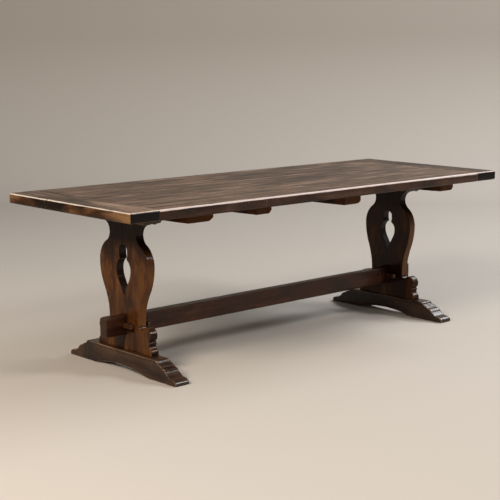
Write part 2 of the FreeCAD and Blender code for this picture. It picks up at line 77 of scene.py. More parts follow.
class Grain(Enum):
    """The axis that a timber's grain runs along, as the order of axes that puts it first."""

    LENGTHWAYS = (0, 1, 2)
    CROSSWAYS = (1, 2, 0)
    UPRIGHT = (2, 0, 1)


class Side(Enum):
    """The two ends of the table, by the sign of X."""

    LEFT = -1
    RIGHT = 1

    @property
    def word(self) -> str:
        """The side's name as it stands in the names of its pieces."""
        return self.name.lower()


# Working on meshes


@contextmanager
def editing(piece: bpy.types.Object) -> Iterator[None]:
    """Edit mode on one piece, with nothing else selected.

    Args:
        piece: The mesh object to work on.
    """
    only_select(piece)
    bpy.ops.object.mode_set(mode="EDIT")
    try:
        yield
    finally:
        bpy.ops.object.mode_set(mode="OBJECT")


def only_select(piece: bpy.types.Object) -> None:
    """Select one piece alone and make it the active one.

    Args:
        piece: The piece.
    """
    bpy.ops.object.select_all(action="DESELECT")
    piece.select_set(True)
    bpy.context.view_layer.objects.active = piece


def pick_edges(piece: bpy.types.Object, wanted: Callable[[Vector, Vector], bool]) -> int:
    """Select, in edit mode, the edges whose two ends pass a test.

    Args:
        piece: The mesh object, in edit mode.
        wanted: The test, given both ends of an edge.

    Returns:
        How many edges are selected.
    """
    bpy.ops.object.mode_set(mode="OBJECT")
    mesh = piece.data
    mesh.vertices.foreach_set("select", [False] * len(mesh.vertices))
    mesh.polygons.foreach_set("select", [False] * len(mesh.polygons))
    places = [vertex.co for vertex in mesh.vertices]
    picked = {(a, b): wanted(places[a], places[b]) for a, b in mesh.edge_keys}
    mesh.edges.foreach_set("select", [picked[edge.key] for edge in mesh.edges])
    bpy.ops.object.mode_set(mode="EDIT")
    bpy.ops.mesh.select_mode(type="EDGE")
    return sum(picked.values())


def bisect_whole(point: Sequence[float], way: Sequence[float]) -> None:
    """Cut the whole mesh in edit mode by a plane, and keep both halves."""
    bpy.ops.mesh.select_all(action="SELECT")
    bpy.ops.mesh.bisect(plane_co=point, plane_no=way)


def apply_modifier(piece: bpy.types.Object, kind: str, **settings: object) -> None:
    """Give a piece a modifier and apply it.

    Args:
        piece: The mesh object.
        kind: Blender's word for the modifier.
        settings: The modifier's own settings.
    """
    only_select(piece)
    modifier = piece.modifiers.new(kind.lower(), kind)
    for name, value in settings.items():
        setattr(modifier, name, value)
    bpy.ops.object.modifier_apply(modifier=modifier.name)


def smooth_faces(piece: bpy.types.Object) -> None:
    """Shade every face of a piece smooth."""
    piece.data.polygons.foreach_set("use_smooth", [True] * len(piece.data.polygons))


def vertex_rows(piece: bpy.types.Object, what: str) -> np.ndarray:
    """What a piece holds at each of its vertices.

    Args:
        piece: The mesh object.
        what: "co" for the vertices' places, or "normal" for their normals.

    Returns:
        One row for each vertex.
    """
    flat = np.zeros(len(piece.data.vertices) * 3, np.float32)
    piece.data.vertices.foreach_get(what, flat)
    return flat.reshape(-1, 3).astype(float)


def coordinates(piece: bpy.types.Object) -> np.ndarray:
    """The places of a piece's vertices, one row each."""
    return vertex_rows(piece, "co")


def put_coordinates(piece: bpy.types.Object, places: np.ndarray) -> None:
    """Move a piece's vertices to new places."""
    piece.data.vertices.foreach_set("co", places.astype(np.float32).ravel())
    piece.data.update()


def put_attribute(piece: bpy.types.Object, name: str, values: np.ndarray) -> None:
    """Write one number, or one vector, for each vertex of a piece.

    Args:
        piece: The mesh object.
        name: The attribute's name, as materials read it.
        values: One value or one row for each vertex.
    """
    kind, key = ("FLOAT_VECTOR", "vector") if values.ndim == 2 else ("FLOAT", "value")
    attribute = piece.data.attributes.new(name, kind, "POINT")
    attribute.data.foreach_set(key, values.astype(np.float32).ravel())


def unevenness(places: np.ndarray, size: Sequence[float], seed: float) -> np.ndarray:
    """Smooth noise from about -1 to 1 at each place.

    Args:
        places: One row for each place, in metres.
        size: The size of the noise's humps along X, Y and Z, in metres.
        seed: What sets one piece's noise apart from another's.

    Returns:
        One value for each place.
    """
    scaled = places / np.asarray(size, float) + seed
    return np.array([noise.noise(Vector(row)) for row in scaled])


def remainder(start: float, taken: np.ndarray) -> np.ndarray:
    """What is left of a start after values are taken from it, kept between 0 and 1."""
    return np.clip(start - taken, 0, 1)


# The finishes

# The middle of a noise, the reach that most of its values lie in, and the two ways that a mask can run
NOISE_MIDDLE = 0.5
NOISE_REACH: Span = (0.3, 0.7)
RISE: Span = (0.0, 1.0)
FALL: Span = (1.0, 0.0)

# Where a Mix node that mixes colours keeps its two colours and its result
MIX_COLOURS = slice(6, 8)
MIX_RESULT = 2

# How sheltered a vertex is deep in a joint or a crack, where wax never came, and on a crack's lips
WAXLESS = 2.0
LIPS = 0.4


@dataclass(frozen=True)
class Noise:
    """A kind of noise: its humps per metre along each axis, its finer layers, and how far it is bent."""

    scale: Triple
    detail: float = 3.0
    rough: float = 0.5
    bent: float = 0.0


class Drawing:
    """A node tree in the making: it adds nodes and joins them."""

    def __init__(self, tree: bpy.types.NodeTree) -> None:
        """Start on a tree."""
        self.tree = tree

    def node(self, kind: str, **settings: object) -> bpy.types.Node:
        """Add a node.

        Args:
            kind: Blender's word for the node.
            settings: The node's own settings.

        Returns:
            The node.
        """
        made = self.tree.nodes.new(kind)
        for name, value in settings.items():
            setattr(made, name, value)
        return made

    def feed(self, socket: bpy.types.NodeSocket, value: object) -> None:
        """Join another node's output to a socket, or set the socket's own value.

        Args:
            socket: The input to feed.
            value: An output, a value of the socket's kind, or None to leave it as it is.
        """
        if isinstance(value, bpy.types.NodeSocket):
            self.tree.links.new(value, socket)
        elif value is not None:
            socket.default_value = value

    def fill(self, node: bpy.types.Node, **values: object) -> bpy.types.Node:
        """Feed a node's inputs by name.

        Args:
            node: The node.
            values: What each input is fed, with the spaces of its name written as underscores.

        Returns:
            The node.
        """
        for name, value in values.items():
            self.feed(node.inputs[name.replace("_", " ")], value)
        return node

    def line_up(self, node: bpy.types.Node, *values: object) -> bpy.types.Node:
        """Feed a node's first inputs in order.

        Args:
            node: The node.
            values: What each input is fed.

        Returns:
            The node.
        """
        for socket, value in zip(node.inputs, values):
            self.feed(socket, value)
        return node

    def math(self, operation: str, first: object, second: object = None, clamp: bool = False) -> object:
        """Work out one sum of two values."""
        node = self.node("ShaderNodeMath", operation=operation, use_clamp=clamp)
        return self.line_up(node, first, second).outputs[0]

    def vector(self, operation: str, first: object, second: object = None) -> object:
        """Work out one sum of two vectors."""
        node = self.line_up(self.node("ShaderNodeVectorMath", operation=operation), first, second)
        return node.outputs["Value" if operation == "LENGTH" else "Vector"]

    def times(self, first: object, second: object, clamp: bool = False) -> object:
        """Multiply two values."""
        return self.math("MULTIPLY", first, second, clamp)

    def swing(self, value: object) -> object:
        """How far a noise is from its middle."""
        return self.math("SUBTRACT", value, NOISE_MIDDLE)

    def total(self, start: object, parts: Sequence[tuple[object, float]]) -> object:
        """Add up several values.

        Args:
            start: What they are added to.
            parts: Each value with its weight.

        Returns:
            The total.
        """
        for value, weight in parts:
            start = self.math("ADD", start, self.times(value, weight))
        return start

    def tone(self, tint: object, marks: Marks, weights: Sequence[tuple[str, float]]) -> object:
        """Weigh several marks together into a tone from 0 to 1.

        Args:
            tint: What moves the tone from its middle.
            marks: Every mark by its name.
            weights: The marks that count, each with its weight.

        Returns:
            The tone.
        """
        middle = self.math("ADD", tint, NOISE_MIDDLE)
        moved = self.total(middle, [(self.swing(marks[name]), weight) for name, weight in weights])
        return self.math("ADD", moved, 0.0, clamp=True)

    def ease(self, value: object, reach: Span, to: Span = RISE) -> object:
        """Bring a value from one range to another, with soft ends.

        Args:
            value: The value.
            reach: The range that it comes from.
            to: The range that it is brought to.

        Returns:
            The new value.
        """
        node = self.node("ShaderNodeMapRange", interpolation_type="SMOOTHSTEP")
        return self.line_up(node, value, *reach, *to).outputs["Result"]

    def noise(self, place: object, kind: Noise, output: str = "Fac") -> object:
        """Draw a kind of noise.

        Args:
            place: Where it is read.
            kind: What it is like.
            output: "Fac" for one value, or "Color" for three.

        Returns:
            The noise.
        """
        node = self.fill(
            self.node("ShaderNodeTexNoise"), Vector=self.vector("MULTIPLY", place, kind.scale), Scale=1.0,
            Detail=kind.detail, Roughness=kind.rough, Distortion=kind.bent,
        )
        return node.outputs[output]

    def mix(self, share: object, first: object, second: object, mode: str = "MIX") -> object:
        """Lay one colour over another.

        Args:
            share: How much of the upper colour is seen.
            first: The lower colour.
            second: The upper colour.
            mode: Blender's word for the way that they mix.

        Returns:
            The colour.
        """
        node = self.fill(self.node("ShaderNodeMix", data_type="RGBA", blend_type=mode), Factor=share)
        for socket, colour in zip(node.inputs[MIX_COLOURS], (first, second)):
            self.feed(socket, colour if isinstance(colour, bpy.types.NodeSocket) else (*colour, 1.0))
        return node.outputs[MIX_RESULT]

    def grey(self, value: object) -> object:
        """Make a grey of one value."""
        node = self.fill(self.node("ShaderNodeCombineColor"), Red=value, Green=value, Blue=value)
        return node.outputs[0]

    def bump(self, height: object, depth: float, strength: float = 1.0) -> object:
        """Turn a height into a normal."""
        node = self.fill(self.node("ShaderNodeBump"), Strength=strength, Distance=depth, Height=height)
        return node.outputs["Normal"]

    def attribute(self, name: str, output: str = "Fac") -> object:
        """Read what a mesh holds at each vertex."""
        return self.node("ShaderNodeAttribute", attribute_name=name).outputs[output]

    def axes(self, vector: object) -> Sequence[bpy.types.NodeSocket]:
        """Take a vector apart."""
        return self.fill(self.node("ShaderNodeSeparateXYZ"), Vector=vector).outputs

    def close_group(self, **values: object) -> bpy.types.NodeTree:
        """End a node group.

        Args:
            values: What the group gives, by name.

        Returns:
            The group.
        """
        for name in values:
            self.tree.interface.new_socket(name, in_out="OUTPUT", socket_type="NodeSocketFloat")
        self.fill(self.node("NodeGroupOutput"), **values)
        return self.tree


def open_group(name: str, *takes: str) -> tuple[Drawing, Marks]:
    """Start a node group that takes a place and some values.

    Args:
        name: What the group is called.
        takes: The names of the values.

    Returns:
        The drawing, and the sockets that bring the place and the values in.
    """
    tree = bpy.data.node_groups.new(name, "ShaderNodeTree")
    tree.interface.new_socket("Place", in_out="INPUT", socket_type="NodeSocketVector")
    for label in takes:
        tree.interface.new_socket(label, in_out="INPUT", socket_type="NodeSocketFloat")
    draw = Drawing(tree)
    return draw, dict(draw.node("NodeGroupInput").outputs.items())


def new_material(name: str) -> tuple[bpy.types.Material, Drawing, bpy.types.Node]:
    """Start a material.

    Args:
        name: What the material is called.

    Returns:
        The material, the drawing of its nodes, and its shader.
    """
    made = bpy.data.materials.new(name)
    made.use_nodes = True
    return made, Drawing(made.node_tree), made.node_tree.nodes["Principled BSDF"]


@dataclass(frozen=True)
class OakGrain:
    """The figure of sawn oak along its place's first axis: rings, streaks, dashes, fibres and pores."""

    wander: Noise = Noise((1.6, 7.0, 7.0), detail=2.0)
    wander_reach: Triple = (0.0, 0.05, 0.05)
    ring_pull: Triple = (0.012, 1.0, 1.0)
    early_wood: Span = (0.55, 1.0)
    late_wood: Span = (0.0, 0.22)
    ring_breaks: Noise = Noise((2.0, 60.0, 60.0), detail=2.0)
    ring_strength: Span = (0.35, 1.0)
    streaks: Noise = Noise((1.2, 34.0, 34.0), detail=7.0, rough=0.62, bent=0.4)
    fibres: Noise = Noise((9.0, 420.0, 420.0), rough=0.6)
    dashes: Noise = Noise((4.2, 75.0, 75.0), detail=4.0, rough=0.6)
    pores: Noise = Noise((38.0, 1500.0, 1500.0), detail=1.0)
    pore_reach: Span = (0.60, 0.70)
    pored_rings: Span = (0.15, 0.7)
    pore_strength: Span = (0.25, 1.0)

    def group(self) -> bpy.types.NodeTree:
        """Draw the node group.

        Returns:
            The group.
        """
        draw, takes = open_group("oak_grain", "Ring width")
        place = takes["Place"]
        sway = draw.vector("SUBTRACT", draw.noise(place, self.wander, "Color"), (NOISE_MIDDLE,) * 3)
        swayed = draw.vector("ADD", place, draw.vector("MULTIPLY", sway, self.wander_reach))
        from_pith = draw.vector("LENGTH", draw.vector("MULTIPLY", swayed, self.ring_pull))
        year = draw.math("FRACT", draw.math("DIVIDE", from_pith, takes["Ring width"]))
        edge = draw.math("MAXIMUM", draw.ease(year, self.early_wood), draw.ease(year, self.late_wood, FALL))
        breaks = draw.ease(draw.noise(place, self.ring_breaks), NOISE_REACH, self.ring_strength)
        rings = draw.times(edge, breaks)
        pores = draw.ease(draw.noise(place, self.pores), self.pore_reach)
        return draw.close_group(
            Rings=rings,
            Streaks=draw.noise(place, self.streaks),
            Fibres=draw.noise(place, self.fibres),
            Pores=draw.times(pores, draw.ease(rings, self.pored_rings, self.pore_strength)),
            Dashes=draw.noise(place, self.dashes),
        )


@dataclass(frozen=True)
class OakPatina:
    """Where old timber is abraded to its raw wood, with painted light in the same mask, and where wax and
    dirt have gathered, with painted shade beside the dirt.
    """

    ragged: Noise = Noise((14.0, 60.0, 60.0), detail=5.0, rough=0.65)
    ragged_wear: float = 0.9
    slow: Noise = Noise((2.2, 6.0, 6.0), detail=2.0)
    slow_wear: float = 0.7
    bare_reach: Span = (0.30, 0.80)
    ragged_dirt: float = 0.35
    dirt_reach: Span = (0.25, 0.9)
    stains: Noise = Noise((4.0, 11.0, 11.0), detail=5.0, rough=0.55, bent=0.6)
    scratches: Noise = Noise((210.0, 9.0, 30.0), detail=2.0, bent=2.5)
    scratch_reach: Span = (0.66, 0.74)
    scuffs: Noise = Noise((7.0, 8.0, 8.0), detail=2.0)
    scuff_reach: Span = (0.5, 0.66)

    def group(self) -> bpy.types.NodeTree:
        """Draw the node group.

        Returns:
            The group.
        """
        draw, takes = open_group("oak_patina", "Wear", "Hollow", "Rubbed")
        place = takes["Place"]
        ragged = draw.noise(place, self.ragged)
        slow = draw.swing(draw.noise(place, self.slow))
        patina_and_light = draw.total(takes["Wear"], ((draw.swing(ragged), self.ragged_wear), (slow, self.slow_wear)))
        scratches = draw.ease(draw.noise(place, self.scratches), self.scratch_reach)
        return draw.close_group(
            # Bare: raw wood where it is abraded, and painted light, pale where light is meant to fall.
            Bare=draw.times(draw.ease(patina_and_light, self.bare_reach), takes["Rubbed"], clamp=True),
            # Dirt: dirt in hollows and cracks, and painted shade in dips, in the upright's piercing, neck
            # and mouldings, and under the top.
            Dirt=draw.ease(draw.total(takes["Hollow"], ((ragged, self.ragged_dirt),)), self.dirt_reach),
            Stain=draw.noise(place, self.stains),
            Scuff=draw.times(scratches, draw.ease(draw.noise(place, self.scuffs), self.scuff_reach)),
        )


@dataclass(frozen=True)
class Tones:
    """The three colours that one kind of surface goes through, from its dark streaks to its light ones."""

    deep: Triple
    middle: Triple
    bright: Triple
    lower: Span = (0.12, 0.55)
    upper: Span = (0.45, 0.92)

    def spread(self, draw: Drawing, tone: object) -> object:
        """Turn a tone from 0 to 1 into a colour."""
        colour = draw.mix(draw.ease(tone, self.lower), self.deep, self.middle)
        return draw.mix(draw.ease(tone, self.upper), colour, self.bright)

    def shade(self, share: float) -> Triple:
        """The deep colour, darkened to a share of itself."""
        return tuple(part * share for part in self.deep)


@dataclass(frozen=True)
class Usage:
    """The upper side of the top: tones greyed as a painted sheen over what use has made of it, its marks,
    and strokes abraded to the raw wood.
    """

    tones: Tones
    weights: Sequence[tuple[str, float]] = (("Streaks", 1.5), ("Dashes", 1.5), ("Stain", 1.0))
    tinted: float = 0.4
    stroke_dashes: Span = (0.58, 0.74)
    stroke_stain: Span = (0.47, 0.62)
    stroke_share: float = 0.55

    def colour(self, draw: Drawing, tint: object, marks: Marks, bare: Triple) -> object:
        """Lay the colours of the upper side, with its painted sheen, over each other.

        Args:
            draw: The material's drawing.
            tint: What makes the piece lighter or darker than its kind.
            marks: Every mark by its name.
            bare: The colour of the raw wood, which also paints a highlight on the arrises.

        Returns:
            The colour.
        """
        table = self.tones.spread(draw, draw.tone(draw.times(tint, self.tinted), marks, self.weights))
        dashes = draw.ease(marks["Dashes"], self.stroke_dashes)
        strokes = draw.times(dashes, draw.ease(marks["Stain"], self.stroke_stain))
        return draw.mix(draw.times(strokes, self.stroke_share), table, bare)


@dataclass(frozen=True)
class Knot:
    """A knot: a dark heart in a paler ring, each by the share of the way to the knot's middle."""

    ring_outside: Span = (0.10, 0.45)
    ring_inside: Span = (0.75, 0.50)
    ring_share: float = 0.35
    heart: Span = (0.55, 0.85)
    heart_share: Span = (0.0, 0.9)
    heart_shade: float = 0.3

    def colour(self, draw: Drawing, under: object, sawn: Tones) -> object:
        """Draw the knots over a colour.

        Args:
            draw: The material's drawing.
            under: The colour of the wood round them.
            sawn: The wood's own tones.

        Returns:
            The colour.
        """
        near = draw.attribute("knot")
        ring = draw.times(draw.ease(near, self.ring_outside), draw.ease(near, self.ring_inside))
        ringed = draw.mix(draw.times(ring, self.ring_share), under, sawn.bright)
        return draw.mix(draw.ease(near, self.heart, self.heart_share), ringed, sawn.shade(self.heart_shade))


@dataclass(frozen=True)
class OakFinish:
    """One finish of oak: its colours, with painted light and shade among them, how it has aged with use,
    and how it shines.
    """

    slot: str
    grain: Grain
    sawn: Tones
    # The raw-wood colour also paints light: highlights on the top's arrises, the lit edges of the uprights
    # and the lit ends of the battens.
    bare: Triple
    end: Triple
    used: Usage | None = None
    knot: Knot = Knot()
    streaky: float = 0.8
    patchy: float = 1.5
    ring_width: float = 6.5 * MM
    ringed: float = 0.22
    rubbed: float = 0.8
    stained: float = 0.35
    stain_reach: Span = (0.50, 0.34)
    stain_shade: float = 0.35
    gloss: Span = (0.40, 0.60)
    dulling: Sequence[tuple[str, float]] = (("Pores", 0.2), ("Dirt", 0.2), ("Fibres", 0.08))
    wax: float = 0.26
    wax_gloss: float = 0.17
    shine: float = 0.36
    shine_tint: Triple = (1.0, 0.62, 0.40)
    relief: float = 0.35
    relief_depth: float = 0.6 * MM
    heights: Sequence[tuple[str, float]] = (
        ("Fibres", 0.25), ("Pores", -0.6), ("Rings", -0.25), ("Scuff", -0.3),
    )
    facing: Span = (0.55, 0.9)
    fibre_shade: Span = (0.74, 1.24)
    end_rubbed: Span = (1.0, 0.2)
    end_scuffed: Span = (0.5, 0.0)
    pit_shade: float = 0.22
    pored: float = 0.75
    # How far dirt and painted shade darken the colour.
    dirtied: float = 0.92

    def material(self, figure: bpy.types.NodeTree, patina: bpy.types.NodeTree) -> bpy.types.Material:
        """Draw the material.

        Args:
            figure: The group that gives oak's figure.
            patina: The group that gives its marks of use and dirt, with painted light and shade laid into
                them.

        Returns:
            The material.
        """
        made, draw, skin = new_material(self.slot)
        where = draw.node("ShaderNodeTexCoord").outputs
        from_pith = draw.vector("SUBTRACT", where["Object"], draw.attribute("pith", "Vector"))
        place = self.along_grain(draw, from_pith)
        # The first attribute holds wear and painted light; the second, hollows and painted shade.
        wear, hollow = draw.attribute("wear"), draw.attribute("hollow")
        grown = draw.node("ShaderNodeGroup", node_tree=figure)
        draw.fill(grown, Place=place, Ring_width=self.ring_width)
        patina_and_light = draw.node("ShaderNodeGroup", node_tree=patina)
        draw.fill(patina_and_light, Place=place, Wear=wear, Hollow=hollow, Rubbed=self.rubbed)
        marks = dict(grown.outputs.items() + patina_and_light.outputs.items())
        waxed = draw.math("SUBTRACT", WAXLESS, hollow, clamp=True)
        draw.fill(
            skin,
            Base_Color=self.colour(draw, draw.axes(where["Normal"]), marks),
            Roughness=self.roughness(draw, marks),
            Normal=self.surface(draw, marks),
            Specular_IOR_Level=self.shine,
            Specular_Tint=(*self.shine_tint, 1.0),
            Coat_Weight=draw.times(waxed, self.wax),
            Coat_Roughness=self.wax_gloss,
        )
        return made

    def colour(self, draw: Drawing, normal: Sequence[object], marks: Marks) -> object:
        """Lay the wood's colours over each other, from its tone to the dirt and the painted shade in its
        hollows.

        Args:
            draw: The material's drawing.
            normal: The three parts of the surface's normal.
            marks: Every mark by its name.

        Returns:
            The colour.
        """
        tint = draw.attribute("tint")
        tone = draw.tone(tint, marks, (("Streaks", self.streaky), ("Stain", self.patchy)))
        colour = self.sawn.spread(draw, tone)
        if self.used:
            # The upper side takes the lighter, greyed tones of the top, a painted sheen, while the sides
            # keep the dark sawn tones.
            table = self.used.colour(draw, tint, marks, self.bare)
            colour = draw.mix(draw.ease(normal[2], self.facing), colour, table)
        colour = draw.mix(draw.times(marks["Rings"], self.ringed), colour, self.sawn.deep)
        fibre = draw.grey(draw.ease(marks["Fibres"], NOISE_REACH, self.fibre_shade))
        colour = draw.mix(1.0, colour, fibre, "MULTIPLY")
        end_grain = draw.ease(draw.math("ABSOLUTE", normal[self.grain.value[0]]), self.facing)
        colour = draw.mix(end_grain, colour, self.end)
        stain = draw.times(draw.ease(marks["Stain"], self.stain_reach), self.stained)
        colour = draw.mix(stain, colour, self.sawn.shade(self.stain_shade))
        # Raw wood where abraded, with painted light, and scuffs.
        for mark, share in (("Bare", self.end_rubbed), ("Scuff", self.end_scuffed)):
            rubbed = draw.times(marks[mark], draw.ease(end_grain, RISE, share))
            colour = draw.mix(rubbed, colour, self.bare)
        colour = self.knot.colour(draw, colour, self.sawn)
        # Pores, and dirt with painted shade, darken the colour.
        for mark, share in (("Pores", self.pored), ("Dirt", self.dirtied)):
            colour = draw.mix(draw.times(marks[mark], share), colour, self.sawn.shade(self.pit_shade))
        return colour

    def roughness(self, draw: Drawing, marks: Marks) -> object:
        """How dull the wood is, under its wax.

        Args:
            draw: The material's drawing.
            marks: Every mark by its name.

        Returns:
            The roughness.
        """
        dull = draw.ease(marks["Stain"], NOISE_REACH, self.gloss)
        dull = draw.total(dull, [(marks[name], weight) for name, weight in self.dulling])
        return draw.math("ADD", dull, 0.0, clamp=True)

    def surface(self, draw: Drawing, marks: Marks) -> object:
        """The relief of its fibres, pores, rings and scuffs."""
        height = draw.total(0.0, [(marks[name], weight) for name, weight in self.heights])
        return draw.bump(height, self.relief_depth, self.relief)

    def along_grain(self, draw: Drawing, vector: object) -> object:
        """Put the axis that the grain runs along first.

        Args:
            draw: The material's drawing.
            vector: The vector, in the order X, Y and Z.

        Returns:
            The vector in the grain's order.
        """
        parts = draw.axes(vector)
        joined = draw.node("ShaderNodeCombineXYZ")
        return draw.line_up(joined, *(parts[axis] for axis in self.grain.value)).outputs[0]


@dataclass(frozen=True)
class IronFinish:
    """Wrought iron that has gone dark, with brown rust on its raised parts."""

    slot: str = "nail_iron"
    black: Triple = (0.030, 0.027, 0.025)
    rust: Triple = (0.110, 0.050, 0.024)
    scale: Noise = Noise((420.0, 420.0, 420.0), detail=4.0, rough=0.6)
    patches: Noise = Noise((90.0, 90.0, 90.0))
    patchy: float = 0.6
    rust_reach: Span = (0.72, 1.0)
    metal: Span = (0.75, 0.1)
    dull: Span = (0.48, 0.85)
    scale_depth: float = 0.4 * MM

    def material(self) -> bpy.types.Material:
        """Draw the material.

        Returns:
            The material.
        """
        made, draw, skin = new_material(self.slot)
        where = draw.node("ShaderNodeTexCoord").outputs["Object"]
        scale = draw.noise(where, self.scale)
        raised = draw.total(scale, ((draw.noise(where, self.patches), self.patchy),))
        rusty = draw.ease(raised, self.rust_reach)
        draw.fill(
            skin,
            Base_Color=draw.mix(rusty, self.black, self.rust),
            Metallic=draw.ease(rusty, RISE, self.metal),
            Roughness=draw.ease(rusty, RISE, self.dull),
            Normal=draw.bump(scale, self.scale_depth),
        )
        return made


# The upper side's tones are greyed, a painted sheen over the oak's own colour.
TABLE_TOP_AND_SHEEN = Usage(Tones((0.042, 0.028, 0.022), (0.138, 0.089, 0.062), (0.330, 0.213, 0.146)))

OAK_FINISHES = (
    # The top's and the breadboards' raw-wood colours are pale enough to paint the highlight along their
    # arrises, over the wood abraded by use.
    OakFinish(
        "top_oak", Grain.LENGTHWAYS,
        Tones((0.008, 0.005, 0.004), (0.027, 0.013, 0.009), (0.105, 0.052, 0.033)),
        bare=(0.76, 0.63, 0.58), end=(0.020, 0.015, 0.013), used=TABLE_TOP_AND_SHEEN, rubbed=1.0, wax=0.12,
        shine=0.28,
    ),
    OakFinish(
        "breadboard_oak", Grain.CROSSWAYS,
        Tones((0.010, 0.004, 0.002), (0.070, 0.029, 0.011), (0.290, 0.155, 0.070)),
        bare=(0.96, 0.82, 0.70), end=(0.002, 0.002, 0.003), used=TABLE_TOP_AND_SHEEN, streaky=0.6, patchy=2.2,
        rubbed=0.95, wax=0.16, shine=0.14,
    ),
    OakFinish(
        # The batten's raw-wood and end colours are the orange of its lit ends, a painted light.
        "batten_oak", Grain.CROSSWAYS,
        Tones((0.010, 0.004, 0.001), (0.034, 0.012, 0.003), (0.080, 0.028, 0.008)),
        bare=(0.170, 0.062, 0.015), end=(0.150, 0.051, 0.012), rubbed=0.9, wax=0.05, shine=0.2,
    ),
    # The upright's raw-wood colour also paints the light on its edges below the neck.
    OakFinish(
        "upright_oak", Grain.UPRIGHT,
        Tones((0.020, 0.006, 0.002), (0.066, 0.021, 0.006), (0.165, 0.064, 0.017)),
        bare=(0.27, 0.105, 0.028), end=(0.050, 0.022, 0.010), streaky=0.65, patchy=2.4, rubbed=0.36,
        shine=0.14,
    ),
    OakFinish(
        "foot_oak", Grain.CROSSWAYS,
        Tones((0.018, 0.008, 0.005), (0.052, 0.024, 0.013), (0.115, 0.056, 0.029)),
        bare=(0.46, 0.30, 0.18), end=(0.032, 0.018, 0.011), patchy=2.1, wax=0.5, shine=0.2,
    ),
    OakFinish(
        "stretcher_oak", Grain.LENGTHWAYS,
        Tones((0.016, 0.005, 0.003), (0.042, 0.014, 0.007), (0.090, 0.036, 0.018)),
        bare=(0.22, 0.12, 0.07), end=(0.046, 0.021, 0.011), patchy=1.9, rubbed=0.25, shine=0.25,
    ),
    OakFinish(
        "key_oak", Grain.CROSSWAYS,
        Tones((0.020, 0.007, 0.003), (0.064, 0.023, 0.008), (0.130, 0.054, 0.019)),
        bare=(0.28, 0.15, 0.06), end=(0.090, 0.042, 0.019), rubbed=0.3, shine=0.25,
    ),
    OakFinish(
        "peg_oak", Grain.UPRIGHT,
        Tones((0.050, 0.026, 0.012), (0.120, 0.066, 0.032), (0.200, 0.115, 0.058)),
        bare=(0.30, 0.18, 0.10), end=(0.055, 0.030, 0.016), rubbed=0.3, wax=0.0,
    ),
)


def make_finishes() -> dict[str, bpy.types.Material]:
    """Make every material of the table.

    Returns:
        The materials by the name of their slot.
    """
    groups = OakGrain().group(), OakPatina().group()
    made = {finish.slot: finish.material(*groups) for finish in OAK_FINISHES}
    iron = IronFinish()
    made[iron.slot] = iron.material()
    return made


# The timber

NODE_BODY = {node: body for body, nodes in frame["record"]["behaviour"]["bodies"].items() for node in nodes}
NODE_SLOT = {part["node"]: part["material_slot"] for part in frame["record"]["subparts"]}


